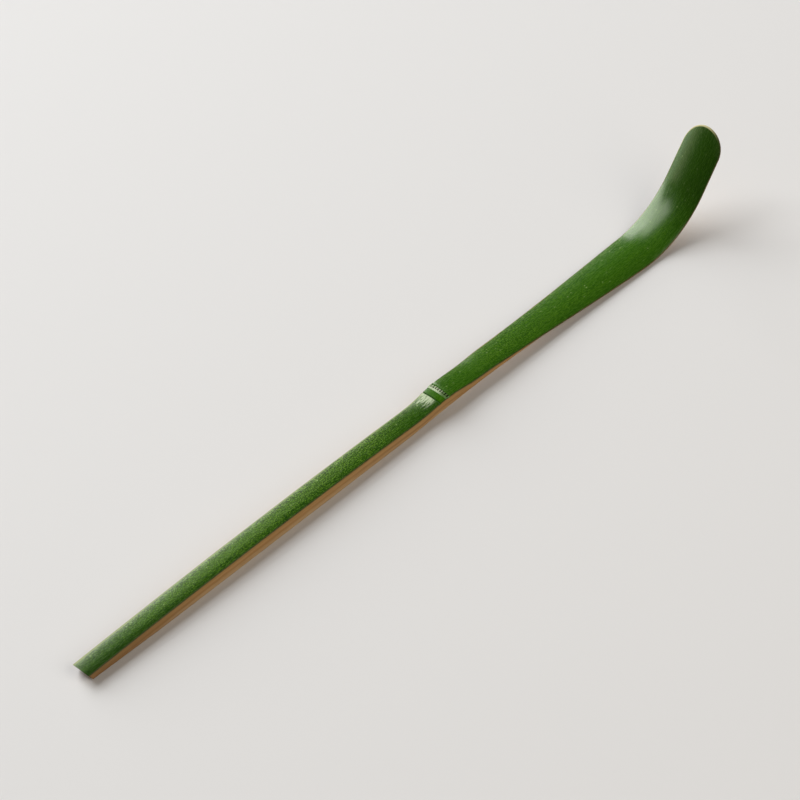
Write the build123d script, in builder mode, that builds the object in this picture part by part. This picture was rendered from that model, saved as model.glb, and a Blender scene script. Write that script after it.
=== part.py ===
"""Chashaku: a tea scoop pared from one split strip of green bamboo.

The strip is a sector of a culm wall, bent up at one end into the scoop. Its tissues are separate solids, seated
face to face: the green skin and the wood of the handle, of the node and of the blade, and the sheath scar round
the node. Each is a layer of the culm, swept or turned about the culm's axis and then pared to one outline.

The origin is the middle of the flat that the handle rests on. +X runs to the tip, +Y to the left and +Z up.
"""

import os
from math import cos, degrees, radians, sin, tan

from build123d import *

# The culm that the strip is split from
culm_radius = 11.0
culm_wall = 5.5
skin_thickness = 0.25

# The crown line, the highest line of the skin, from the butt to the tip
handle_length = 85.9
butt_crown_height = 2.38
butt_climb = 2.12
handle_bow_radius = 1330.0
node_length = 18.0
node_lift = 2.6
node_fall = 4.6
node_kink_radius = 60.0
blade_length = 41.6
blade_bow_radius = 640.0
bend_radius = 18.0
bend_angle = 54.6
tip_length = 12.65

# The pared outline seen from above
butt_width = 4.25
shoulder_width = 4.5
node_width = 4.9
blade_middle_width = 6.7
blade_middle = 16.0
bend_width = 9.55
bend_flare_angle = 1.9
tip_width = 9.2
tip_round = 5.15
arris = 0.25

# The pared underside
butt_undercut_angle = 30.0
butt_pare_length = 18.5
butt_pare_height = 0.5
rest_length = 66.0
waist_height = 1.1
waist_distance = 16.0
bend_thickness = 1.4
tip_thickness = 1.2

# The node's swelling, measured along the culm from the start of the node
shoulder_start = 1.0
groove_start = 5.3
groove_width = 0.4
scar_start = 7.0
scar_width = 1.4
flare_end = 17.0
groove_swell = 0.45
node_swell = 0.65
ridge_radius = 0.2

# Room that the blank and the cutting outlines have round the finished strip
spare = 3.0

butt_x = -butt_pare_length - rest_length / 2
overrun_turn = degrees(spare / handle_bow_radius)
handle_turn = degrees(handle_length / handle_bow_radius)
blade_turn = degrees(blade_length / blade_bow_radius)
blank_width = max(bend_width, tip_width, node_width) + 2 * spare
clear_height = bend_radius + tip_length + culm_wall + 2 * spare

# The crown line lies in the plane of symmetry and is made of tangent arcs and lines.
with BuildLine(Plane.XZ) as handle_line:
    overrun = JernArc(
        (butt_x, butt_crown_height), (-cos(radians(butt_climb)), -sin(radians(butt_climb))),
        handle_bow_radius, overrun_turn, mode=Mode.PRIVATE,
    )
    bow = JernArc(overrun @ 1, (overrun % 1) * -1, handle_bow_radius, -overrun_turn - handle_turn)
    lift = JernArc(bow @ 1, bow % 1, node_kink_radius, node_lift)

node_start = lift @ 1
node_direction = lift % 1
node_end = node_start + node_direction * node_length

with BuildLine(Plane.XZ) as blade_line:
    fall = JernArc(node_end, node_direction, node_kink_radius, -node_fall)
    sag = JernArc(fall @ 1, fall % 1, blade_bow_radius, blade_turn)
    bend = JernArc(sag @ 1, sag % 1, bend_radius, bend_angle)
    tip = Line(bend @ 1, (bend @ 1) + (bend % 1) * (tip_length + spare))

bend_start = bend @ 0
bend_end = bend @ 1
bend_heading = bend % 0
tip_direction = bend % 1

# Square to the crown line where each sweep starts, with local x across the strip and local y up
butt_plane = Plane(handle_line.line @ 0, x_dir=(0, 1, 0), z_dir=handle_line.line % 0)
blade_plane = Plane(node_end, x_dir=(0, 1, 0), z_dir=node_direction)

# In the plane of symmetry, with local x along the culm's axis at the node and local y out from it
node_up = Vector(0, -1, 0).cross(node_direction)
node_plane = Plane(node_start - node_up * culm_radius, x_dir=node_direction, z_dir=(0, -1, 0))
culm_axis = Axis(node_plane.origin, node_direction)

# On the crown line of the tip, with local x towards its end and local y across
tip_plane = Plane(bend_end, x_dir=tip_direction, z_dir=tip_direction.cross(Vector(0, 1, 0)))


def culm_layer(outer, inner):
    """Section of a layer of the culm wall, between two depths under the skin's surface."""
    with Locations((0, -culm_radius)):
        Circle(culm_radius - outer)
        Circle(culm_radius - inner, mode=Mode.SUBTRACT)
    Rectangle(blank_width, 2 * culm_wall, mode=Mode.INTERSECT)


def node_layer(outer, inner, start, end):
    """Profile of a layer of the swollen node between two depths and two places along the culm."""
    with BuildLine() as outline:
        top = node_curve(outer)
        bottom = node_curve(inner)
        Line(top @ 0, bottom @ 0)
        Line(top @ 1, bottom @ 1)
    make_face(outline.edges())
    with Locations((start, 0)):
        Rectangle(end - start, 4 * culm_radius, align=(Align.MIN, Align.CENTER), mode=Mode.INTERSECT)


def node_curve(depth):
    """The node's surface in profile, lowered by a depth: it rises to the scar and falls to the blade."""
    level = culm_radius - depth
    scar_middle = scar_start + scar_width / 2
    return Spline(
        (shoulder_start, level),
        (groove_start, level + groove_swell),
        (scar_middle, level + node_swell),
        (flare_end, level),
        tangents=((1, 0), (1, 0)),
    )


def plan_outline(inset):
    """Outline of the strip from above, from the butt to past the tip, drawn in from the pared sides."""
    node_x = node_start.X + scar_start
    blade_x = node_end.X + blade_middle
    far_x = bend_end.X + tip_length + spare
    with BuildLine() as outline:
        butt = Line((butt_x - spare, butt_width / 2 - inset), (butt_x, butt_width / 2 - inset))
        handle = Line(butt @ 1, (node_start.X + shoulder_start, shoulder_width / 2 - inset))
        flare = Spline(
            handle @ 1,
            (node_x + scar_width, node_width / 2 - inset),
            (blade_x, blade_middle_width / 2 - inset),
            (bend_start.X, bend_width / 2 - inset),
            tangents=(handle % 1, (cos(radians(bend_flare_angle)), sin(radians(bend_flare_angle)))),
        )
        side = Line(flare @ 1, (far_x, bend_width / 2 - inset))
        Line(side @ 1, (far_x, 0))
        Line((far_x, 0), (butt_x - spare, 0))
        Line((butt_x - spare, 0), butt @ 0)
    make_face(outline.edges())
    mirror(about=Plane.XZ)


def tip_outline(inset):
    """Outline square to the tip: straight sides that draw in to a rounded end."""
    base = tip_length - tip_round
    run_back = butt_x - spare - bend_end.X
    taper = (bend_width - tip_width) / 2 / (tip_length + bend_radius * radians(bend_angle))
    half = tip_width / 2 - inset
    back_half = half - taper * run_back
    with BuildLine() as outline:
        Polyline((base, half), (run_back, back_half), (run_back, -back_half), (base, -half))
        EllipticalCenterArc((base, 0), tip_round - inset, half, start_angle=-90, arc_size=180)
    make_face(outline.edges())


def side_outline():
    """Everything above the pared underside and ahead of the butt's cut, in the plane of symmetry."""
    undercut = tan(radians(butt_undercut_angle))
    heel_x = butt_x + (butt_crown_height - butt_pare_height) * undercut
    top_x = butt_x - (clear_height - butt_crown_height) * undercut
    rest_end = rest_length / 2
    heading = Vector(bend_heading.X, bend_heading.Z)
    tip_heading = Vector(tip_direction.X, tip_direction.Z)
    bend_under = Vector(bend_start.X, bend_start.Z) - heading.rotate(Axis.Z, 90) * bend_thickness
    tip_normal = tip_heading.rotate(Axis.Z, 90)
    heel_under = Vector(bend_end.X, bend_end.Z) - tip_normal * bend_thickness
    tip_under = heel_under + tip_heading * tip_length + tip_normal * (bend_thickness - tip_thickness)
    past_tip = tip_under + (tip_under - heel_under) * (spare / tip_length)
    with BuildLine() as outline:
        Polyline((top_x, clear_height), (heel_x, butt_pare_height), (-rest_end, 0), (rest_end, 0))
        Spline(
            (rest_end, 0),
            (rest_end + waist_distance, waist_height),
            bend_under,
            tangents=((1, 0), heading),
        )
        JernArc(bend_under, heading, bend_radius + bend_thickness, bend_angle)
        Line(heel_under, past_tip)
        Polyline(past_tip, (past_tip.X, clear_height), (top_x, clear_height))
    make_face(outline.edges())


def pare(inset):
    """The form that the knife leaves, as one solid to cut the blank's layers with."""
    with BuildPart() as form:
        with BuildSketch(Plane.XY.offset(-spare)):
            plan_outline(inset)
        extrude(amount=clear_height + 2 * spare)
        with BuildSketch(Plane.XZ):
            side_outline()
        extrude(amount=blank_width, both=True, mode=Mode.INTERSECT)
        with BuildSketch(tip_plane):
            tip_outline(inset)
        extrude(amount=2 * (bend_end.X - butt_x), both=True, mode=Mode.INTERSECT)
    return form.part


wood_form = pare(0)
skin_form = pare(arris)

# Wood of the handle, from the butt to the start of the node's swelling
with BuildPart() as handle_wood:
    with BuildSketch(butt_plane):
        culm_layer(skin_thickness, culm_wall)
    sweep(path=handle_line.line)
    with BuildSketch(node_plane):
        with Locations((0, culm_radius - skin_thickness)):
            Rectangle(shoulder_start, culm_wall - skin_thickness, align=(Align.MIN, Align.MAX))
    revolve(axis=culm_axis)
    add(wood_form, mode=Mode.INTERSECT)
handle_wood.part.label = "handle_wood"

# Wood of the node, which swells under the scar
with BuildPart() as node_wood:
    with BuildSketch(node_plane):
        node_layer(skin_thickness, culm_wall, shoulder_start, flare_end)
    revolve(axis=culm_axis)
    add(wood_form, mode=Mode.INTERSECT)
node_wood.part.label = "node_wood"

# Wood of the blade and of the scoop
with BuildPart() as blade_wood:
    with BuildSketch(blade_plane):
        culm_layer(skin_thickness, culm_wall)
    sweep(path=blade_line.line)
    with BuildSketch(node_plane):
        with Locations((flare_end, culm_radius - skin_thickness)):
            Rectangle(node_length - flare_end, culm_wall - skin_thickness, align=(Align.MIN, Align.MAX))
    revolve(axis=culm_axis)
    add(wood_form, mode=Mode.INTERSECT)
blade_wood.part.label = "blade_wood"

# Green skin of the handle, with the shoulder that rises to the groove
with BuildPart() as handle_skin:
    with BuildSketch(butt_plane):
        culm_layer(0, skin_thickness)
    sweep(path=handle_line.line)
    with BuildSketch(node_plane):
        node_layer(0, skin_thickness, shoulder_start, groove_start)
        with Locations((0, culm_radius)):
            Rectangle(shoulder_start, skin_thickness, align=(Align.MIN, Align.MAX))
    revolve(axis=culm_axis)
    add(skin_form, mode=Mode.INTERSECT)
handle_skin.part.label = "handle_skin"

# Green band between the groove and the scar
with BuildPart() as node_band:
    with BuildSketch(node_plane):
        node_layer(0, skin_thickness, groove_start + groove_width, scar_start)
    revolve(axis=culm_axis)
    add(skin_form, mode=Mode.INTERSECT)
node_band.part.label = "node_band"

# Scar of the culm sheath: two ridges on a band that stands in the skin
with BuildPart() as sheath_scar:
    with BuildSketch(node_plane):
        node_layer(0, skin_thickness, scar_start, scar_start + scar_width)
        with Locations(
            (scar_start + ridge_radius, culm_radius + node_swell),
            (scar_start + scar_width - ridge_radius, culm_radius + node_swell),
        ):
            Circle(ridge_radius)
    revolve(axis=culm_axis)
    add(skin_form, mode=Mode.INTERSECT)
sheath_scar.part.label = "sheath_scar"

# Green skin of the blade and of the scoop, with the flare that falls from the scar
with BuildPart() as blade_skin:
    with BuildSketch(blade_plane):
        culm_layer(0, skin_thickness)
    sweep(path=blade_line.line)
    with BuildSketch(node_plane):
        node_layer(0, skin_thickness, scar_start + scar_width, flare_end)
        with Locations((flare_end, culm_radius)):
            Rectangle(node_length - flare_end, skin_thickness, align=(Align.MIN, Align.MAX))
    revolve(axis=culm_axis)
    add(skin_form, mode=Mode.INTERSECT)
blade_skin.part.label = "blade_skin"

os.makedirs("parts", exist_ok=True)
for piece in (handle_wood, node_wood, blade_wood, handle_skin, node_band, sheath_scar, blade_skin):
    export_step(piece.part, f"parts/{piece.part.label}.step")
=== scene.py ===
"""Looks of the tea scoop, a strip of green bamboo pared to a handle and bent up into a small scoop.

The pieces are modelled straight, in millimetres, with x along the crown line from the butt, y to the left
and z up from the skin's highest line. Each is cut to the strip's outline, pressed onto the culm that the
strip is split from, given its thickness, bent along the crown line and only then made metres.
"""

from math import atan2, cos, hypot, radians, sin, sqrt, tan

import bmesh
import bpy
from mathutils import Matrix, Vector, noise


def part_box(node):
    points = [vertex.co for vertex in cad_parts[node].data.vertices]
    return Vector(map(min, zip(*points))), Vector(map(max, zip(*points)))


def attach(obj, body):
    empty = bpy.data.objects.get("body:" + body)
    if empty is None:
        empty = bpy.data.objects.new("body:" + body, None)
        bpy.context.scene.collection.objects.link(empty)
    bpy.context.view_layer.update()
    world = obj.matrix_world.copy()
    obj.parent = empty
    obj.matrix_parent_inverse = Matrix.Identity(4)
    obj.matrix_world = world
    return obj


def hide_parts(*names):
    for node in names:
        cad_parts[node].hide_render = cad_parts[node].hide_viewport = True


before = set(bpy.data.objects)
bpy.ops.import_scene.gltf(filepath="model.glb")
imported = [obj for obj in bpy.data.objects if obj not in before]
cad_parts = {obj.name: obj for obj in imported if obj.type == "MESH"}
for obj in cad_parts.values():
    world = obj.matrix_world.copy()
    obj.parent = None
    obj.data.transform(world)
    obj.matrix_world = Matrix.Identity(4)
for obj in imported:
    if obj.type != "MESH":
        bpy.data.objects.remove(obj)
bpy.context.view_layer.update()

MM = 0.001

# The culm
culm_radius = 11.0
skin_thickness = 0.25

# The crown line, from the butt to the tip
butt_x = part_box("handle_skin")[0][0] / MM
butt_crown_height = 2.38
butt_climb = radians(2.12)
handle_length = 85.9
handle_bow_radius = 1330.0
node_length = 18.0
node_lift = radians(2.6)
node_fall = radians(4.6)
node_kink_radius = 60.0
blade_length = 41.6
blade_bow_radius = 640.0
bend_radius = 18.0
bend_angle = radians(54.6)
tip_length = 12.65

# The outline from above, and how far the knife wanders inside it
butt_width = 4.25
shoulder_width = 4.5
node_width = 4.9
blade_middle_width = 6.7
blade_middle = 16.0
bend_width = 9.55
bend_flare = tan(radians(1.9))
tip_width = 9.2
tip_round = 5.15
tip_trim = 0.12
knife_inset = 0.03
knife_wander = 0.02
knife_stroke = 11.0

# The underside
butt_undercut = tan(radians(30.0))
butt_pare_length = 18.5
butt_pare_height = 0.5
rest_length = 66.0
waist_height = 1.1
waist_distance = 16.0
bend_thickness = 1.4
tip_thickness = 1.2
tip_undercut = 0.75
undercut_start = 7.0
undercut_run = 30.0

# The node, measured from where it starts
shoulder_start = 1.0
groove_start = 5.3
groove_width = 0.4
groove_close = 0.07
scar_start = 7.0
scar_width = 1.4
flare_end = 17.0
groove_swell = 0.45
node_swell = 0.65

# The scar's own form, measured from where it starts
ring_middle = 0.28
ring_half = 0.15
ring_rise = 0.13
trough_start = 0.46
trough_end = 1.08
trough_depth = 0.13
bead_pitch = 0.58
bead_width = 0.21
bead_length = 0.42
bead_height = 0.3
bead_inset = 0.6 * bead_width
bead_stray = 0.12
bead_unevenness = 0.25

# Edges
skin_round = 0.16
cut_share = 0.3
wood_round = 0.1
seam_round = 0.04
sharp_angle = radians(40)
smooth_angle = radians(35)
weld_distance = 0.0005

# Places along the crown line
node_place = handle_length + node_lift * node_kink_radius
node_end_place = node_place + node_length
blade_place = node_end_place + node_fall * node_kink_radius
bend_place = blade_place + blade_length
bend_end_place = bend_place + bend_angle * bend_radius
tip_place = bend_end_place + tip_length - tip_trim
shoulder_place = node_place + shoulder_start
groove_place = node_place + groove_start
band_place = groove_place + groove_width
scar_place = node_place + scar_start
scar_end_place = scar_place + scar_width
flare_end_place = node_place + flare_end
undercut_place = node_end_place + undercut_start
round_place = tip_place - tip_round

# How finely a sheet is divided, and how far it runs on before the butt is cut
column_step = 0.75
band_step = 0.1
scar_step = 0.04
rows = 14
scar_rows = 24
butt_overrun = 2.0

# Colours as the eye sees them, red, green and blue from 0 to 255
handle_tones = ((29, 66, 1), (41, 82, 3), (55, 100, 12))
blade_tones = ((40, 84, 3), (49, 93, 4), (65, 111, 13))
band_tones = ((44, 92, 3), (54, 102, 4), (70, 120, 14))
fleck_dark = (20, 46, 0)
fleck_light = (106, 146, 46)
dot_pale = (156, 182, 116)
painted_sheen_pale = (152, 172, 114)
tip_shade_green = (24, 50, 0)
shaded_green = (24, 54, 0)
crown_pale_green = (112, 148, 74)
bloom_and_highlight_white = (184, 199, 163)
handle_rim = (142, 150, 100)
blade_rim = (130, 114, 62)
tip_rim = (196, 188, 138)
right_edge_shade = (54, 62, 6)
outer_wood = (176, 134, 76)
inner_wood = (188, 149, 96)
innermost_wood = (202, 172, 126)
fibre_brown = (152, 108, 54)
strand_brown = (140, 98, 48)
line_brown = (146, 100, 40)
butt_shade_brown = (128, 92, 46)
seam_brown = (104, 82, 32)
groove_green = (44, 96, 12)
scar_shade = (170, 190, 150)
scar_light = (208, 220, 192)
scar_right = (70, 110, 30)
lip_green = (52, 98, 6)
trough_dark = (8, 24, 3)
floor_grey = (222, 222, 222)

# The parts of a noise's range that masks are read from
most = (0.3, 0.7)
middle_part = (0.35, 0.65)
upper_part = (0.45, 0.75)

# The camera of the photograph, in metres apart from its lens
view_target = Vector((40.20, 5.94, 0.25)) * MM
view_distance = 0.9188
view_elevation = radians(45.0)
view_azimuth = radians(-47.18)
lens_length = 215.4
sensor_width = 36.0


def spline_through(points, first_slope, last_slope):
    """A smooth curve through a few points, as a function, with a given slope at each end."""
    rounds = 40
    slopes = [first_slope] + [0.0] * (len(points) - 2) + [last_slope]
    for _ in range(rounds):
        for i in range(1, len(points) - 1):
            (x0, y0), (x1, y1), (x2, y2) = points[i - 1:i + 2]
            back = x1 - x0
            ahead = x2 - x1
            pull = 3 * (ahead * (y1 - y0) / back + back * (y2 - y1) / ahead)
            slopes[i] = (pull - ahead * slopes[i - 1] - back * slopes[i + 1]) / (2 * (back + ahead))

    def height(x):
        i = 0
        while i < len(points) - 2 and x > points[i + 1][0]:
            i += 1
        (x0, y0), (x1, y1) = points[i:i + 2]
        run = x1 - x0
        t = min(max((x - x0) / run, 0.0), 1.0)
        start = (1 + 2 * t) * (1 - t) ** 2 * y0 + t * (1 - t) ** 2 * run * slopes[i]
        end = t * t * (3 - 2 * t) * y1 - t * t * (1 - t) * run * slopes[i + 1]
        return start + end

    return height


def run_end(x, z, heading, length, turn):
    """Where an arc or a straight run ends, and its heading there."""
    chord = length * sin(turn / 2) / (turn / 2) if turn else length
    middle = heading + turn / 2
    return x + chord * cos(middle), z + chord * sin(middle), heading + turn


def crown_knots():
    """Where the runs of the crown line meet.

    Each knot is its place along the line, x, z and heading, then the length and the turn of the run ahead.
    """
    runs = (
        (handle_length, -handle_length / handle_bow_radius),
        (node_lift * node_kink_radius, node_lift),
        (node_length, 0.0),
        (node_fall * node_kink_radius, -node_fall),
        (blade_length, blade_length / blade_bow_radius),
        (bend_angle * bend_radius, bend_angle),
        (tip_length, 0.0),
    )
    place, x, z, heading = 0.0, butt_x, butt_crown_height, butt_climb
    knots = []
    for length, turn in runs:
        knots.append((place, x, z, heading, length, turn))
        x, z, heading = run_end(x, z, heading, length, turn)
        place += length
    knots.append((place, x, z, heading, 0.0, 0.0))
    return knots


knots = crown_knots()


def crown_at(place):
    """x and z of the crown line at a place along it."""
    for start, x, z, heading, length, turn in knots:
        if place <= start + length:
            break
    share = (place - start) / length if length else 0.0
    return run_end(x, z, heading, place - start, turn * share)[:2]


blade_outline = spline_through(
    (
        (shoulder_place, shoulder_width / 2),
        (scar_end_place, node_width / 2),
        (node_end_place + blade_middle, blade_middle_width / 2),
        (bend_place, bend_width / 2),
    ),
    (shoulder_width - butt_width) / 2 / node_place,
    bend_flare,
)

waist_curve = spline_through(
    (
        (rest_length / 2, 0.0),
        (rest_length / 2 + waist_distance, waist_height),
        (crown_at(bend_place)[0], crown_at(bend_place)[1] - bend_thickness),
    ),
    0.0,
    0.0,
)

node_curve = spline_through(
    (
        (shoulder_place, 0.0),
        (groove_place, groove_swell),
        (scar_place + scar_width / 2, node_swell),
        (flare_end_place, 0.0),
    ),
    0.0,
    0.0,
)


def half_width(place):
    """Half the strip's width at a place along it, before the tip's end is rounded."""
    if place < shoulder_place:
        share = max(place, 0.0) / shoulder_place
        half = (butt_width + (shoulder_width - butt_width) * share) / 2
    else:
        taper = (bend_width - tip_width) / 2 / (tip_place - bend_place)
        half = min(blade_outline(place), tip_width / 2 + taper * (round_place - min(place, round_place)))
    return half - knife_inset + knife_wander * noise.noise((place / knife_stroke, 0.0, 0.0))


def swell(place):
    """How far the culm stands out at the node."""
    if not shoulder_place < place < flare_end_place:
        return 0.0
    return node_curve(place)


def thickness(place):
    """The strip's thickness under the crown line."""
    if place > bend_end_place:
        return bend_thickness + (tip_thickness - bend_thickness) * (place - bend_end_place) / tip_length
    if place > bend_place:
        return bend_thickness
    x, z = crown_at(place)
    if x > rest_length / 2:
        return z - waist_curve(x)
    pared = butt_pare_height * max(0.0, -rest_length / 2 - x) / butt_pare_length
    return z - pared


def undercut(place):
    """How far the lower edges are pared in. It grows along the blade, whose rim is knifed thin."""
    share = min(max((place - undercut_place) / undercut_run, 0.0), 1.0)
    return tip_undercut * share * share * (3 - 2 * share)


def rim_gap(place, y):
    """How far a point lies inside the outline, measured from the left edge, and from the right edge."""
    half = half_width(place)
    if place <= round_place:
        return half - y, half + y
    reach = hypot((place - round_place) / tip_round, y / half)
    round_gap = (1 - reach) * (tip_round + half) / 2
    return min(round_gap, half - y), min(round_gap, half + y)


def skin_depth(point):
    """How deep a point of the straight strip lies under the skin's surface."""
    return culm_radius + swell(point.x) - hypot(point.y, point.z + culm_radius)


# Small steps of modelling

def deselect_all():
    for thing in bpy.context.selected_objects:
        thing.select_set(False)


def work_on(piece, mode="OBJECT"):
    """Makes a piece the only one selected, and enters a mode on it."""
    if bpy.context.mode != "OBJECT":
        bpy.ops.object.mode_set(mode="OBJECT")
    deselect_all()
    piece.select_set(True)
    bpy.context.view_layer.objects.active = piece
    bpy.ops.object.mode_set(mode=mode)


def pick_vertices(piece, wanted):
    """Selects the vertices that wanted(vertex) accepts, and nothing else."""
    shape = bmesh.from_edit_mesh(piece.data)
    bpy.context.tool_settings.mesh_select_mode = (True, False, False)
    for part in (*shape.faces, *shape.edges, *shape.verts):
        part.select = False
    for vertex in shape.verts:
        vertex.select = wanted(vertex)
    shape.select_flush(True)
    bmesh.update_edit_mesh(piece.data, loop_triangles=False, destructive=False)


def pick_edges(piece, wanted):
    """Selects the edges that wanted(edge) accepts, and nothing else."""
    shape = bmesh.from_edit_mesh(piece.data)
    bpy.context.tool_settings.mesh_select_mode = (False, True, False)
    for part in (*shape.faces, *shape.edges, *shape.verts):
        part.select = False
    for edge in shape.edges:
        if wanted(edge):
            edge.select = True
    bmesh.update_edit_mesh(piece.data, loop_triangles=False, destructive=False)


def apply_modifier(piece, kind, **settings):
    work_on(piece)
    modifier = piece.modifiers.new(kind.lower(), kind)
    for name, value in settings.items():
        setattr(modifier, name, value)
    bpy.ops.object.modifier_apply(modifier=modifier.name)


# The culm and the crown line, which shape the pieces and are then taken away

def turn_culm(depth):
    """The culm's surface at a depth under the skin: a profile turned about the culm's axis."""
    edge_angle = radians(40)
    arc_steps = 160
    node_step = 0.2
    overrun = 5.0
    outward = Vector((0.0, -sin(edge_angle), cos(edge_angle)))
    axis = Vector((0.0, 0.0, -culm_radius))
    last = Vector((-overrun, 0.0, 0.0))
    places = [shoulder_place]
    while places[-1] < flare_end_place:
        places.append(places[-1] + node_step)
    places.append(tip_place + overrun)
    bpy.ops.mesh.primitive_plane_add(size=1)
    culm = bpy.context.object
    work_on(culm, "EDIT")
    bpy.ops.mesh.select_all(action="SELECT")
    bpy.ops.mesh.merge(type="CENTER")
    bpy.ops.transform.translate(value=axis + outward * (culm_radius - depth) + last)
    for place in places:
        step = Vector((place, 0.0, 0.0)) + outward * swell(place) - last
        bpy.ops.mesh.extrude_region_move(TRANSFORM_OT_translate={"value": step})
        last += step
    bpy.ops.mesh.select_all(action="SELECT")
    bpy.ops.mesh.spin(steps=arc_steps, angle=2 * edge_angle, center=axis, axis=(1, 0, 0))
    work_on(culm)
    return culm


def draw_crown_line():
    """The crown line as a curve of arcs and straight runs, for the pieces to be bent along."""
    bpy.ops.curve.primitive_bezier_curve_add()
    line = bpy.context.object
    spline = line.data.splines[0]
    spline.bezier_points.add(len(knots) - 2)
    reach_back = tip_length / 3
    for point, (_, x, z, heading, length, turn) in zip(spline.bezier_points, knots):
        ahead = Vector((cos(heading), 0.0, sin(heading)))
        reach = 4 / 3 * tan(turn / 4) * length / turn if turn else length / 3
        point.handle_left_type = "FREE"
        point.handle_right_type = "FREE"
        point.co = (x, 0.0, z)
        point.handle_left = point.co - ahead * reach_back
        point.handle_right = point.co + ahead * reach
        reach_back = reach
    line.data.dimensions = "3D"
    line.data.twist_mode = "Z_UP"
    line.data.resolution_u = 256
    return line


def lay_sheet(name, start, end, step, lines):
    """A flat sheet over the culm, cut to the strip's outline between two places along it."""
    drop_height = culm_radius / 4
    columns = round((end - start) / step)
    bpy.ops.mesh.primitive_grid_add(x_subdivisions=columns, y_subdivisions=lines, size=1)
    sheet = bpy.context.object
    sheet.name = name
    work_on(sheet, "EDIT")
    bpy.ops.mesh.select_all(action="SELECT")
    bpy.ops.transform.resize(value=(end - start, 2.0, 1.0))
    bpy.ops.transform.translate(value=((start + end) / 2, 0.0, drop_height))
    places = [start + (end - start) * i / columns for i in range(columns + 1)]
    if end > round_place:
        for j in range(lines + 1):
            y = 2 * j / lines - 1
            shrink = sqrt(1 - y * y / 2)
            row = range(j * (columns + 1), (j + 1) * (columns + 1))
            pick_vertices(sheet, lambda v: v.index in row and v.co.x > round_place)
            bpy.ops.transform.resize(value=(shrink, 1.0, 1.0), center_override=(round_place, 0.0, 0.0))
    for i, place in enumerate(places):
        along = max(place - round_place, 0.0) / tip_round
        half = half_width(place) * sqrt(1 - along * along / 2)
        pick_vertices(sheet, lambda v: v.index % (columns + 1) == i)
        bpy.ops.transform.resize(value=(1.0, half, 1.0), center_override=(place, 0.0, 0.0))
    work_on(sheet)
    return sheet


def press_onto(sheet, culm):
    """Drops a flat sheet straight down onto the culm."""
    apply_modifier(
        sheet, "SHRINKWRAP", target=culm, wrap_method="PROJECT", use_project_z=True, use_project_x=False,
        use_project_y=False, use_positive_direction=False, use_negative_direction=True,
    )


def cut_butt(piece):
    """The slanting knife cut at the end of the handle."""
    work_on(piece, "EDIT")
    bpy.ops.mesh.select_all(action="SELECT")
    bpy.ops.mesh.bisect(
        plane_co=(0.0, 0.0, 0.0), plane_no=Vector((1.0, 0.0, butt_undercut)).normalized(),
        use_fill=True, clear_inner=True,
    )
    work_on(piece)


def close_form(piece):
    """Merges what lies together and turns every face outwards."""
    work_on(piece, "EDIT")
    bpy.ops.mesh.select_all(action="SELECT")
    bpy.ops.mesh.remove_doubles(threshold=weld_distance)
    bpy.ops.mesh.normals_make_consistent(inside=False)
    work_on(piece)


def middle_of(edge):
    return (edge.verts[0].co + edge.verts[1].co) / 2


def is_sharp(edge):
    return edge.is_manifold and edge.calc_face_angle() > sharp_angle


def in_surface(edge):
    """Whether an edge lies in the skin's surface."""
    return skin_depth(middle_of(edge)) < skin_thickness / 4


def on_rim(edge):
    """Whether an edge runs along the strip's outline."""
    x, y, _ = middle_of(edge)
    return min(rim_gap(x, y)) < skin_round / 2


def round_edges(piece, wanted, width, segments):
    """Rounds the sharp edges whose depth under the skin wanted(depth) accepts."""
    work_on(piece, "EDIT")
    pick_edges(piece, lambda edge: is_sharp(edge) and wanted(skin_depth(middle_of(edge))))
    bpy.ops.mesh.bevel(offset=width, segments=segments, profile=0.5, affect="EDGES", clamp_overlap=True)
    work_on(piece)


def note_tissue(piece):
    """Writes where each vertex lies in the straight strip, in mm, for materials to follow the fibres by.

    flat is the place along, across and above the crown line. tissue is the gap to the left edge, the gap to
    the right edge and the depth under the skin.
    """
    flat = piece.data.attributes.new("flat", "FLOAT_VECTOR", "POINT")
    tissue = piece.data.attributes.new("tissue", "FLOAT_VECTOR", "POINT")
    for vertex in piece.data.vertices:
        left, right = rim_gap(vertex.co.x, vertex.co.y)
        flat.data[vertex.index].vector = vertex.co
        tissue.data[vertex.index].vector = (left, right, skin_depth(vertex.co))


def finish_piece(piece, material, slot, *nodes):
    """Bends a straight piece along the crown line, makes it metres and lets it stand for its CAD nodes."""
    note_tissue(piece)
    apply_modifier(piece, "CURVE", object=crown_line, deform_axis="POS_X")
    work_on(piece)
    piece.scale = (MM, MM, MM)
    bpy.ops.object.transform_apply(location=True, rotation=True, scale=True)
    bpy.ops.object.shade_smooth_by_angle(angle=smooth_angle)
    piece.data.materials.clear()
    piece.data.materials.append(material)
    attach(piece, "root")
    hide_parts(*nodes)


# Pieces

def make_skin(name, start, end, step=column_step):
    """A stretch of skin. The knife has eased its long edges and its end, and left its cross cuts crisp."""
    sheet = lay_sheet(name, start, end, step, rows)
    press_onto(sheet, skin_culm)
    apply_modifier(sheet, "SOLIDIFY", thickness=skin_thickness, offset=-1.0)
    if start < 0:
        cut_butt(sheet)
    close_form(sheet)
    work_on(sheet, "EDIT")
    for eased, weight in ((True, 1.0), (False, cut_share)):
        pick_edges(sheet, lambda edge: is_sharp(edge) and in_surface(edge) and on_rim(edge) == eased)
        bpy.ops.transform.edge_bevelweight(value=weight)
    apply_modifier(sheet, "BEVEL", limit_method="WEIGHT", width=skin_round, segments=4, profile=0.5)
    return sheet


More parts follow.
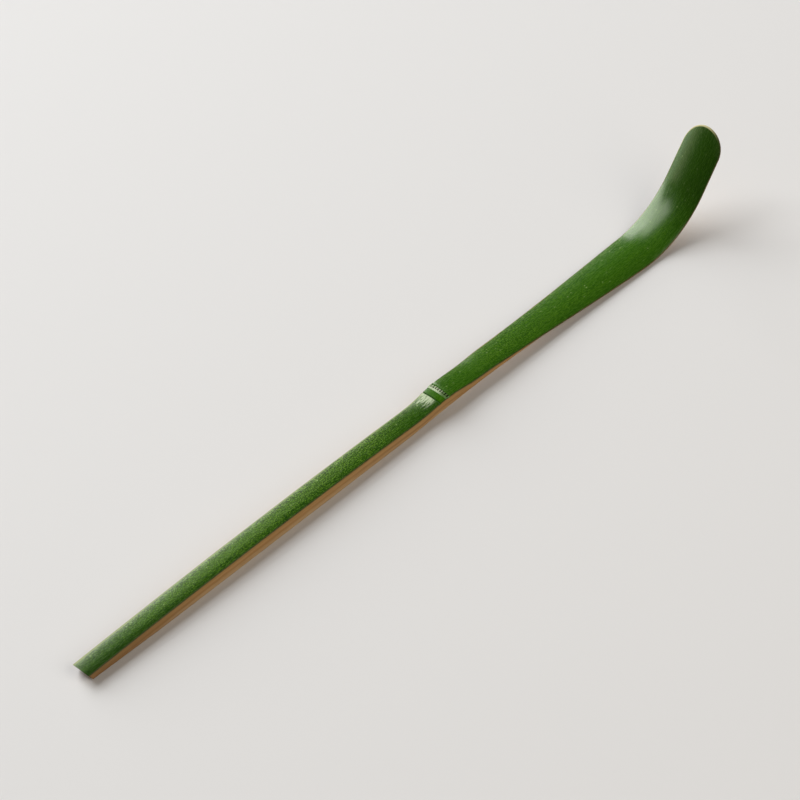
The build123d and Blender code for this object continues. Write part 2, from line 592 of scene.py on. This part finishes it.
def make_wood():
    """The pared wood under the skin, in one piece from butt to tip."""
    start = -butt_overrun
    wood = lay_sheet("pared_wood", start, tip_place, column_step, rows)
    columns = len(wood.data.vertices) // (rows + 1)
    press_onto(wood, wood_culm)
    work_on(wood, "EDIT")
    top_count = len(wood.data.vertices)
    bpy.ops.mesh.select_all(action="SELECT")
    bpy.ops.mesh.extrude_region_move(TRANSFORM_OT_translate={"value": (0.0, 0.0, -culm_radius / 2)})
    for i in range(columns):
        place = start + (tip_place - start) * i / (columns - 1)
        narrow = 1 - undercut(place) / half_width(place)
        pick_vertices(wood, lambda v: v.index >= top_count and v.index % columns == i)
        bpy.ops.transform.resize(value=(1.0, narrow, 0.0), center_override=(place, 0.0, -thickness(place)))
    pick_vertices(wood, lambda v: v.index >= top_count and v.co.x > round_place)
    bpy.ops.transform.resize(
        value=(1 - tip_undercut / tip_round, 1.0, 1.0), center_override=(round_place, 0.0, 0.0),
    )
    cut_butt(wood)
    close_form(wood)
    below_seam = 2 * skin_thickness
    at_seam = 1.2 * skin_thickness
    round_edges(wood, lambda depth: depth > below_seam, wood_round, 3)
    round_edges(wood, lambda depth: depth < at_seam, seam_round, 2)
    return wood


def scar_rise(offset):
    """How far the scar stands out of the skin: a ring, then a trough, then level with the blade again."""
    across_ring = (offset - ring_middle) / ring_half
    if abs(across_ring) < 1:
        return ring_rise * sqrt(1 - across_ring * across_ring)
    return -trough_depth if trough_start < offset < trough_end else 0.0


def make_bead(number, place):
    """One broken stub of sheath fibre, set across the trough. They are counted from the left edge."""
    stray_step = 1.7
    stray_row = 3.0
    length_step = 2.3
    length_row = 7.0
    stray = bead_stray * noise.noise((number * stray_step, stray_row, 0.0))
    unevenness = bead_unevenness * noise.noise((number * length_step, length_row, 0.0))
    y = half_width(place) - bead_inset - bead_pitch * (number + stray)
    lean = atan2(y, culm_radius)
    top = sqrt((culm_radius + swell(place)) ** 2 - y * y) - culm_radius - trough_depth / 2
    bpy.ops.mesh.primitive_cube_add(size=1, location=(place, y, top))
    bead = bpy.context.object
    work_on(bead, "EDIT")
    bpy.ops.mesh.select_all(action="SELECT")
    bpy.ops.mesh.subdivide(number_cuts=3, smoothness=1.0)
    bpy.ops.transform.resize(value=(bead_length * (1 + unevenness), bead_width, bead_height))
    bpy.ops.transform.rotate(value=lean, orient_axis="X", center_override=(place, y, top))
    work_on(bead)
    bpy.ops.object.transform_apply(location=True, rotation=True, scale=True)
    return bead


def make_scar():
    """The sheath scar: a plain ring, and beside it a trough with the stubs of the sheath's broken fibres."""
    scar = lay_sheet("sheath_scar_ring", scar_place, scar_end_place, scar_step, scar_rows)
    columns = len(scar.data.vertices) // (scar_rows + 1)
    press_onto(scar, skin_culm)
    work_on(scar, "EDIT")
    for i in range(columns):
        pick_vertices(scar, lambda v: v.index % columns == i)
        bpy.ops.transform.translate(value=(0.0, 0.0, scar_rise(scar_width * i / (columns - 1))))
    work_on(scar)
    apply_modifier(scar, "SOLIDIFY", thickness=skin_thickness, offset=-1.0)
    close_form(scar)
    bead_place = scar_place + (trough_start + trough_end) / 2
    count = 1 + int(2 * half_width(bead_place) / bead_pitch)
    beads = [make_bead(number, bead_place) for number in range(count)]
    deselect_all()
    for bead in beads:
        bead.select_set(True)
    scar.select_set(True)
    bpy.context.view_layer.objects.active = scar
    bpy.ops.object.join()
    return scar


# Steps of painting

def linear(tone):
    """A tone as the eye sees it, made Blender's linear colour."""
    def channel(value):
        value /= 255
        return value / 12.92 if value <= 0.04045 else ((value + 0.055) / 1.055) ** 2.4
    return (*(channel(value) for value in tone), 1.0)


class Nodes:
    """Short ways to add and join nodes in one tree."""

    def __init__(self, tree):
        self.tree = tree

    def add(self, kind, **settings):
        node = self.tree.nodes.new(kind)
        for name, value in settings.items():
            setattr(node, name, value)
        return node

    def feed(self, socket, value):
        if hasattr(value, "is_linked"):
            self.tree.links.new(value, socket)
        else:
            socket.default_value = value

    def math(self, operation, first, second=0.0):
        node = self.add("ShaderNodeMath", operation=operation)
        self.feed(node.inputs[0], first)
        self.feed(node.inputs[1], second)
        return node.outputs[0]

    def times(self, first, second):
        return self.math("MULTIPLY", first, second)

    def plus(self, first, second):
        return self.math("ADD", first, second)

    def distance(self, first, second):
        return self.math("ABSOLUTE", self.math("SUBTRACT", first, second))

    def spread(self, value, low, high, to_low=0.0, to_high=1.0, smooth=True):
        """Spreads the range from low to high over another range, and keeps what lies outside at its ends."""
        slope = "SMOOTHSTEP" if smooth else "LINEAR"
        node = self.add("ShaderNodeMapRange", interpolation_type=slope, clamp=True)
        for socket, number in zip(node.inputs, (value, low, high, to_low, to_high)):
            self.feed(socket, number)
        return node.outputs[0]

    def mix(self, share, first, second):
        node = self.add("ShaderNodeMix", data_type="RGBA")
        self.feed(node.inputs["Factor"], share)
        self.feed(node.inputs[6], first)
        self.feed(node.inputs[7], second)
        return node.outputs[2]

    def place(self, group, **inputs):
        """Places a shader group. Its inputs are named in small letters, with _ for a space."""
        node = self.add("ShaderNodeGroup", node_tree=group)
        for name, value in inputs.items():
            self.feed(node.inputs[name.replace("_", " ").capitalize()], value)
        return node.outputs

    def attribute(self, name):
        return self.add("ShaderNodeAttribute", attribute_name=name).outputs["Vector"]

    def split(self, vector):
        node = self.add("ShaderNodeSeparateXYZ")
        self.feed(node.inputs[0], vector)
        return node.outputs

    def drawn_out(self, flat, share):
        """The place in the strip with its length pressed to a share, which draws a pattern out along it."""
        along, across, up = self.split(flat)
        node = self.add("ShaderNodeCombineXYZ")
        self.feed(node.inputs["X"], self.times(along, share))
        self.feed(node.inputs["Y"], across)
        self.feed(node.inputs["Z"], up)
        return node.outputs[0]

    def noise(self, vector, scale, detail, roughness):
        node = self.add("ShaderNodeTexNoise")
        self.feed(node.inputs["Vector"], vector)
        self.feed(node.inputs["Scale"], scale)
        self.feed(node.inputs["Detail"], detail)
        self.feed(node.inputs["Roughness"], roughness)
        return node.outputs["Fac"]

    def waver(self, value, scale):
        node = self.add("ShaderNodeTexNoise", noise_dimensions="1D")
        self.feed(node.inputs["W"], value)
        self.feed(node.inputs["Scale"], scale)
        return node.outputs["Fac"]

    def cells(self, vector, scale):
        node = self.add("ShaderNodeTexVoronoi", feature="F1")
        self.feed(node.inputs["Vector"], vector)
        self.feed(node.inputs["Scale"], scale)
        return node.outputs["Distance"]

    def bump(self, height, strength, distance):
        node = self.add("ShaderNodeBump")
        node.inputs["Strength"].default_value = strength
        node.inputs["Distance"].default_value = distance
        self.feed(node.inputs["Height"], height)
        return node.outputs["Normal"]


class Places:
    """Where a point of a piece lies in the straight strip, in mm, as note_tissue wrote it."""

    def __init__(self, nodes):
        self.flat = nodes.attribute("flat")
        self.tissue = nodes.attribute("tissue")
        self.along, self.across, _ = nodes.split(self.flat)
        self.left, self.right, self.depth = nodes.split(self.tissue)


def new_group(name, inputs, outputs):
    """An empty shader group. An input is a vector where its default has three numbers, and else a value."""
    group = bpy.data.node_groups.new(name, "ShaderNodeTree")
    for label, value in inputs:
        kind = "NodeSocketVector" if isinstance(value, tuple) else "NodeSocketFloat"
        group.interface.new_socket(label, in_out="INPUT", socket_type=kind).default_value = value
    for label in outputs:
        group.interface.new_socket(label, in_out="OUTPUT", socket_type="NodeSocketFloat")
    nodes = Nodes(group)
    return group, nodes, nodes.add("NodeGroupInput").outputs, nodes.add("NodeGroupOutput").inputs


def new_material(name):
    material = bpy.data.materials.new(name)
    material.use_nodes = True
    nodes = Nodes(material.node_tree)
    shader = material.node_tree.nodes["Principled BSDF"]
    return material, nodes, shader.inputs


# Effects that more than one material uses

def make_streaks():
    """Fibres drawn out along the strip."""
    group, nodes, given, out = new_group(
        "Lengthwise streaks",
        (("Flat", (0.0, 0.0, 0.0)), ("Fineness", 4.0), ("Stretch", 20.0)),
        ("Streaks",),
    )
    drawn = nodes.drawn_out(given["Flat"], nodes.math("DIVIDE", 1.0, given["Stretch"]))
    nodes.feed(out["Streaks"], nodes.noise(drawn, given["Fineness"], detail=4.0, roughness=0.6))
    return group


def make_bundles():
    """The fibre bundles of the culm wall: strands that show as lines on a side and as dots on a cut end."""
    strand_press = 0.012
    group, nodes, given, out = new_group(
        "Fibre bundles",
        (("Flat", (0.0, 0.0, 0.0)), ("Pitch", 0.35), ("Thickness", 0.3)),
        ("Bundles",),
    )
    drawn = nodes.drawn_out(given["Flat"], strand_press)
    from_middle = nodes.cells(drawn, nodes.math("DIVIDE", 1.0, given["Pitch"]))
    core = nodes.times(given["Thickness"], 0.5)
    nodes.feed(out["Bundles"], nodes.spread(from_middle, given["Thickness"], core))
    return group


def make_rim():
    """Edges of the skin: pale where the knife has cut it, and painted shade along the right edge.

    Left is a pale line down the left edge and round the tip. It thins out towards the bend, and the node has
    none. Right is a thin dark line where the skin ends on the right: painted shade on the edge that faces
    away from the lamps.
    """
    wander_scale = 0.12
    narrowest = 0.75
    widest = 1.15
    return_run = 5.0
    right_y = -0.4 * tip_width
    dark_core = 0.05
    group, nodes, given, out = new_group(
        "Pared rim and right edge shade",
        (
            ("Flat", (0.0, 0.0, 0.0)), ("Tissue", (0.0, 0.0, 0.0)),
            ("Butt width", 0.62), ("Bend width", 0.24), ("End width", 0.44), ("Dark width", 0.26),
        ),
        ("Left", "Right"),
    )
    along, across, _ = nodes.split(given["Flat"])
    left, right, _ = nodes.split(given["Tissue"])
    width = nodes.spread(along, 0.0, bend_place, given["Butt width"], given["Bend width"], smooth=False)
    more = nodes.math("SUBTRACT", given["End width"], given["Bend width"])
    width = nodes.plus(width, nodes.times(more, nodes.spread(along, round_place, tip_place)))
    wander = nodes.spread(nodes.waver(along, wander_scale), *most, narrowest, widest)
    width = nodes.times(width, wander)
    pale = nodes.spread(left, width, nodes.times(width, 0.5))
    pale = nodes.times(pale, nodes.spread(across, right_y, 0.0))
    before_node = nodes.spread(along, band_place, groove_place)
    after_node = nodes.spread(along, scar_end_place, node_end_place + return_run)
    nodes.feed(out["Left"], nodes.times(pale, nodes.plus(before_node, after_node)))
    nodes.feed(out["Right"], nodes.spread(right, given["Dark width"], dark_core))
    return group


# The green skin

def fleck_skin(nodes, at, colour, speckle, fine, flecks):
    """Dark and light flecks, and a few pale dots. Butt, node, right side and bend are calmer."""
    butt_calm = (5.0, 35.0, 0.6, 1.0)
    node_calm = (5.0, 20.0, 0.35, 1.0)
    edge_calm = (0.3, 2.2, 0.45, 1.0)
    bend_share = 0.3
    dark_part = (0.5, 0.4)
    light_part = (0.5, 0.6)
    dot_spacing = 1.25
    dot_round = (0.16, 0.08)
    dots_off_edge = (0.8, 2.2)
    dots_kept = (0.42, 0.52)
    strength = nodes.spread(at.along, scar_end_place, bend_place, flecks, bend_share * flecks)
    strength = nodes.times(strength, nodes.spread(at.along, *butt_calm))
    strength = nodes.times(strength, nodes.spread(nodes.distance(at.along, scar_place), *node_calm))
    strength = nodes.times(strength, nodes.spread(at.right, *edge_calm))
    sunk = nodes.times(nodes.spread(speckle, *dark_part), strength)
    colour = nodes.mix(sunk, colour, linear(fleck_dark))
    lit = nodes.times(nodes.spread(speckle, *light_part), strength)
    colour = nodes.mix(lit, colour, linear(fleck_light))
    dots = nodes.spread(nodes.cells(at.flat, 1 / dot_spacing), *dot_round, 0.0, flecks)
    dots = nodes.times(dots, nodes.spread(at.right, *dots_off_edge))
    dots = nodes.times(dots, nodes.spread(fine, *dots_kept))
    return nodes.mix(dots, colour, linear(dot_pale))


def paint_left_sheen(nodes, at, colour, speckle, painted_sheen):
    """Painted sheen: pale colour down the left side, in place of the lamps' shine there."""
    sheen_reach = 1.8
    full_reach = 0.18
    mottle = (0.36, 0.62, 0.5, 1.3)
    share = nodes.spread(at.left, sheen_reach, full_reach, 0.0, painted_sheen)
    share = nodes.times(share, nodes.spread(speckle, *mottle))
    return nodes.mix(share, colour, linear(painted_sheen_pale))


def paint_tip_shade(nodes, at, colour, heat):
    """Painted shade: deeper green from the bend on, less so down the left side."""
    start_place = bend_place + 4.0
    full_place = bend_end_place + 1.0
    left_y = 0.46 * tip_width
    inner_y = 0.2 * tip_width
    left_share = 0.4
    share = nodes.spread(at.along, start_place, full_place, 0.0, heat)
    from_left = nodes.spread(at.across, left_y, inner_y, left_share, 1.0)
    return nodes.mix(nodes.times(share, from_left), colour, linear(tip_shade_green))


def paint_handle_shade(nodes, at, colour):
    """Painted shade: deeper green down the right side of the handle, and all over towards the butt."""
    right_reach = 1.9
    right_core = 0.3
    right_share = 0.6
    right_run = 0.6 * node_place
    butt_reach = 20.0
    butt_share = 0.3
    share = nodes.spread(at.right, right_reach, right_core, 0.0, right_share)
    share = nodes.times(share, nodes.spread(at.along, right_run, 0.0))
    colour = nodes.mix(share, colour, linear(shaded_green))
    share = nodes.spread(at.along, butt_reach, 0.0, 0.0, butt_share)
    return nodes.mix(share, colour, linear(shaded_green))


def pale_crown(nodes, at, colour, crown_paling):
    """Paler green along the crown of the handle, most in the middle of its length."""
    off_right = (0.9, 1.9)
    off_left = (0.8, 1.8)
    crown_paling_from = 0.35 * node_place
    crown_paling_to = 0.5 * node_place
    share = nodes.spread(at.right, *off_right)
    share = nodes.times(share, nodes.spread(at.left, *off_left, 0.0, crown_paling))
    share = nodes.times(share, nodes.spread(at.along, node_place, crown_paling_to))
    share = nodes.times(share, nodes.spread(at.along, 0.0, crown_paling_from))
    return nodes.mix(share, colour, linear(crown_pale_green))


def brush_bloom_and_highlight(nodes, at, reach):
    """How much white lies below the groove: the culm's own white powder, with a painted highlight on it. It
    ends in strokes and leaves the right side free.
    """
    raggedness = 0.6 * reach
    full_reach = 0.2 * reach
    off_right = (0.7, 1.7)
    thin_strokes = (0.36, 0.58, 0.5, 1.0)
    strokes = nodes.place(streaks, flat=at.flat, fineness=3.6, stretch=8.0)[0]
    ragged = nodes.spread(strokes, *most, raggedness, -raggedness, smooth=False)
    back = nodes.math("SUBTRACT", groove_place, at.along)
    bloom_and_highlight = nodes.spread(nodes.plus(back, ragged), reach, full_reach)
    bloom_and_highlight = nodes.times(bloom_and_highlight, nodes.spread(at.right, *off_right))
    return nodes.times(bloom_and_highlight, nodes.spread(strokes, *thin_strokes))


def paint_skin(name, tones, rim_tone, flecks, sheen=0.5, painted_sheen=0.0, crown_paling=0.0, bloom_and_highlight_reach=0.0, heat=0.0):
    """Green skin: streaked along the fibres, flecked, and pale where the knife has cut its edge. It also
    carries
    painted light and shade: a painted sheen down the left side, painted shade on the handle, along the right
    edge and from the bend on, and a painted highlight on the white below the groove.

    tones are its dark, middle and light green, and rim_tone the cut edge down the left side. flecks is
    how strong the flecks are, and sheen how strong the shine is. painted_sheen is how much pale painted
    sheen lies down the left side. crown_paling is how much paler the crown of the handle is made.
    bloom_and_highlight_reach is how far the white powder with its painted highlight runs back from the
    groove, in mm. heat is how much painted shade deepens the green from the bend on.
    """
    smoothest = 0.2
    roughest = 0.32
    bloom_roughness = 0.25
    rim_roughness = 0.3
    light_share = 0.55
    left_rim_share = 0.85
    right_edge_shade_share = 0.6
    material, nodes, surface = new_material(name)
    at = Places(nodes)
    broad = nodes.place(streaks, flat=at.flat, fineness=1.1, stretch=14.0)[0]
    fine = nodes.place(streaks, flat=at.flat, fineness=7.0, stretch=9.0)[0]
    speckle = nodes.noise(at.flat, scale=4.0, detail=2.0, roughness=0.5)
    dark, middle, light = (linear(tone) for tone in tones)
    colour = nodes.mix(nodes.spread(broad, *middle_part), dark, middle)
    colour = nodes.mix(nodes.spread(fine, *upper_part, 0.0, light_share), colour, light)
    colour = fleck_skin(nodes, at, colour, speckle, fine, flecks)
    # Painted sheen down the left side.
    if painted_sheen:
        colour = paint_left_sheen(nodes, at, colour, speckle, painted_sheen)
    # Painted shade from the bend on.
    if heat:
        colour = paint_tip_shade(nodes, at, colour, heat)
    # Painted shade down the right side of the handle and towards the butt.
    colour = paint_handle_shade(nodes, at, colour)
    if crown_paling:
        colour = pale_crown(nodes, at, colour, crown_paling)
    roughness = nodes.spread(fine, *most, smoothest, roughest)
    # White powder below the groove, with a painted highlight on it.
    if bloom_and_highlight_reach:
        bloom_and_highlight = brush_bloom_and_highlight(nodes, at, bloom_and_highlight_reach)
        colour = nodes.mix(bloom_and_highlight, colour, linear(bloom_and_highlight_white))
        roughness = nodes.plus(roughness, nodes.times(bloom_and_highlight, bloom_roughness))
    skin_edges = nodes.place(rim, flat=at.flat, tissue=at.tissue)
    # Painted shade: a thin dark line along the right edge.
    colour = nodes.mix(nodes.times(skin_edges["Right"], right_edge_shade_share), colour, linear(right_edge_shade))
    to_tip = nodes.spread(at.along, bend_end_place, round_place)
    rim_colour = nodes.mix(to_tip, linear(rim_tone), linear(tip_rim))
    colour = nodes.mix(nodes.times(skin_edges["Left"], left_rim_share), colour, rim_colour)
    roughness = nodes.plus(roughness, nodes.times(skin_edges["Left"], rim_roughness))
    nodes.feed(surface["Base Color"], colour)
    nodes.feed(surface["Roughness"], roughness)
    nodes.feed(surface["Normal"], nodes.bump(fine, strength=0.12, distance=0.06 * MM))
    surface["IOR"].default_value = 1.5
    surface["Specular IOR Level"].default_value = sheen
    surface["Specular Tint"].default_value = (0.92, 1.0, 0.8, 1.0)
    return material


# The wood and the scar

def paint_wood():
    """Pared culm wood: strands drawn along it, paler inwards past a brown line, green in the groove, and
    painted shade towards the butt.
    """
    depth_wander = 0.5
    outer_depth = 0.5
    inner_depth = 1.7
    innermost_depth = 2.5
    line_depth = 1.5
    line_half = 0.45
    line_core = 0.1
    butt_run = 0.45 * node_place
    seam_end = skin_thickness + 0.14
    seam_core = skin_thickness + 0.04
    groove_fade = 0.3
    fibre_share = 0.45
    strand_share = 0.3
    innermost_share = 0.75
    line_share = 0.45
    butt_share = 0.75
    seam_share = 0.6
    smoothest = 0.55
    roughest = 0.72
    material, nodes, surface = new_material("culm_wood_pared")
    at = Places(nodes)
    broad = nodes.place(streaks, flat=at.flat, fineness=1.6, stretch=30.0)[0]
    fine = nodes.place(streaks, flat=at.flat, fineness=9.0, stretch=24.0)[0]
    strands = nodes.place(bundles, flat=at.flat, pitch=0.42, thickness=0.36)[0]
    wander = nodes.spread(broad, *most, -depth_wander, depth_wander, smooth=False)
    shade = nodes.plus(at.depth, wander)
    inwards = nodes.spread(shade, outer_depth, inner_depth)
    colour = nodes.mix(inwards, linear(outer_wood), linear(inner_wood))
    fibres = nodes.spread(fine, *upper_part, 0.0, fibre_share)
    colour = nodes.mix(fibres, colour, linear(fibre_brown))
    colour = nodes.mix(nodes.times(strands, strand_share), colour, linear(strand_brown))
    inmost = nodes.spread(shade, inner_depth, innermost_depth, 0.0, innermost_share)
    colour = nodes.mix(inmost, colour, linear(innermost_wood))
    line = nodes.spread(nodes.distance(at.depth, line_depth), line_half, line_core, 0.0, line_share)
    colour = nodes.mix(line, colour, linear(line_brown))
    # Painted shade: darker wood towards the butt.
    butt_shade = nodes.spread(at.along, butt_run, 0.0, 0.0, butt_share)
    colour = nodes.mix(butt_shade, colour, linear(butt_shade_brown))
    seam = nodes.spread(at.depth, seam_end, seam_core)
    colour = nodes.mix(nodes.times(seam, seam_share), colour, linear(seam_brown))
    groove = nodes.times(seam, nodes.spread(at.along, groove_place - groove_fade, groove_place))
    groove = nodes.times(groove, nodes.spread(at.along, band_place + groove_fade, band_place))
    colour = nodes.mix(groove, colour, linear(groove_green))
    nodes.feed(surface["Base Color"], colour)
    nodes.feed(surface["Roughness"], nodes.spread(fine, *most, smoothest, roughest))
    nodes.feed(surface["Normal"], nodes.bump(nodes.plus(fine, strands), strength=0.35, distance=0.06 * MM))
    surface["IOR"].default_value = 1.45
    return material


def paint_scar():
    """Dry scar tissue: pale where it stands up, dark in the trough, green where it runs into the blade."""
    lip_start = scar_place + trough_end - 0.04
    lip_end = scar_place + trough_end + 0.02
    green_reach = 2.6
    green_core = 0.9
    green_share = 0.9
    trough_edge = 0.02
    trough_wall = 0.07
    dry = 0.7
    waxy = 0.35
    material, nodes, surface = new_material("sheath_scar_tissue")
    at = Places(nodes)
    fine = nodes.place(streaks, flat=at.flat, fineness=9.0, stretch=3.0)[0]
    pale = nodes.mix(nodes.spread(fine, *middle_part), linear(scar_shade), linear(scar_light))
    to_right = nodes.spread(at.right, green_reach, green_core, 0.0, green_share)
    colour = nodes.mix(to_right, pale, linear(scar_right))
    lip = nodes.spread(at.along, lip_start, lip_end)
    colour = nodes.mix(lip, colour, linear(lip_green))
    colour = nodes.mix(nodes.spread(at.depth, trough_edge, trough_wall), colour, linear(trough_dark))
    nodes.feed(surface["Base Color"], colour)
    nodes.feed(surface["Roughness"], nodes.spread(lip, 0.0, 1.0, dry, waxy))
    surface["Specular IOR Level"].default_value = 0.2
    nodes.feed(surface["Normal"], nodes.bump(fine, strength=0.3, distance=0.05 * MM))
    return material


# The scene round the scoop

def lay_floor():
    """A pale floor just under the scoop."""
    floor_size = 6.0
    floor_drop = 0.02 * MM
    bpy.ops.mesh.primitive_grid_add(
        x_subdivisions=2, y_subdivisions=2, size=floor_size, location=(0.0, 0.0, -floor_drop),
    )
    floor = bpy.context.object
    floor.name = "floor"
    bpy.ops.object.transform_apply(location=True, rotation=True, scale=True)
    material, _, surface = new_material("pale_floor")
    surface["Base Color"].default_value = linear(floor_grey)
    surface["Roughness"].default_value = 0.9
    floor.data.materials.append(material)


def hang_light(name, azimuth, elevation, distance, width, height, power, tint=(1.0, 1.0, 1.0)):
    """A soft rectangular lamp that faces the scoop. Azimuth is counted from +X towards +Y, in degrees."""
    data = bpy.data.lights.new(name, "AREA")
    data.shape = "RECTANGLE"
    data.size = width
    data.size_y = height
    data.energy = power
    data.color = tint
    light = bpy.data.objects.new(name, data)
    bpy.context.scene.collection.objects.link(light)
    turn = radians(azimuth)
    climb = radians(elevation)
    toward = Vector((cos(climb) * cos(turn), cos(climb) * sin(turn), sin(climb)))
    light.location = view_target + toward * distance
    light.visible_camera = False
    light.rotation_euler = toward.to_track_quat("Z", "Y").to_euler()


def set_camera():
    """The camera of the photograph: 45 degrees down, looking past the butt, with a long lens."""
    data = bpy.data.cameras.new("camera")
    data.lens = lens_length
    data.sensor_width = sensor_width
    data.clip_start = 0.01
    camera = bpy.data.objects.new("camera", data)
    bpy.context.scene.collection.objects.link(camera)
    level = cos(view_elevation)
    back = Vector((sin(view_azimuth) * level, -cos(view_azimuth) * level, sin(view_elevation)))
    camera.location = view_target + back * view_distance
    camera.rotation_euler = back.to_track_quat("Z", "Y").to_euler()
    bpy.context.scene.camera = camera


def set_world():
    """A dim room, so that the greens keep their depth. The floor is the pale background."""
    world = bpy.data.worlds.new("soft studio")
    world.use_nodes = True
    room = world.node_tree.nodes["Background"]
    room.inputs["Color"].default_value = (1.0, 1.0, 1.0, 1.0)
    room.inputs["Strength"].default_value = 0.04
    bpy.context.scene.world = world


deselect_all()
crown_line = draw_crown_line()
skin_culm = turn_culm(0.0)
wood_culm = turn_culm(skin_thickness)

streaks = make_streaks()
bundles = make_bundles()
rim = make_rim()
# The handle and the blade carry painted sheen down the left side, and the blade painted shade from the bend
# on.
handle_green = paint_skin(
    "handle_green", handle_tones, handle_rim, flecks=1.0, painted_sheen=0.2, crown_paling=0.25, bloom_and_highlight_reach=2.8,
)
blade_green = paint_skin("blade_green", blade_tones, blade_rim, flecks=0.6, painted_sheen=0.1, heat=0.65)
band_green = paint_skin("band_green", band_tones, blade_rim, flecks=0.3, sheen=0.2)
wood_tan = paint_wood()
scar_pale = paint_scar()

finish_piece(make_wood(), wood_tan, "culm_wood", "handle_wood", "node_wood", "blade_wood")
handle_skin = make_skin("handle_skin_green", -butt_overrun, groove_place + groove_close)
finish_piece(handle_skin, handle_green, "green_skin", "handle_skin")
node_band = make_skin("node_band_green", band_place - groove_close, scar_place, band_step)
finish_piece(node_band, band_green, "green_skin", "node_band")
blade_skin = make_skin("blade_skin_green", scar_end_place, tip_place)
finish_piece(blade_skin, blade_green, "green_skin", "blade_skin")
finish_piece(make_scar(), scar_pale, "scar_tissue", "sheath_scar")

for helper in (crown_line, skin_culm, wood_culm):
    bpy.data.objects.remove(helper)

lay_floor()
set_camera()
set_world()
hang_light("window", azimuth=84, elevation=23, distance=1.5, width=1.3, height=1.0, power=25.0)
hang_light("upper window", azimuth=100, elevation=51, distance=1.5, width=1.25, height=0.67, power=12.4)
hang_light("low card", azimuth=94, elevation=4, distance=1.5, width=1.34, height=0.2, power=1.95)
hang_light(
    "side card", azimuth=130, elevation=7.5, distance=1.5, width=0.64, height=0.29, power=1.15,
    tint=(1.0, 1.0, 0.72),
)
hang_light(
    "fill", azimuth=-79, elevation=39, distance=1.0, width=0.8, height=0.8, power=4.2,
    tint=(1.0, 0.9, 0.78),
)
bpy.context.scene.view_settings.view_transform = "Standard"
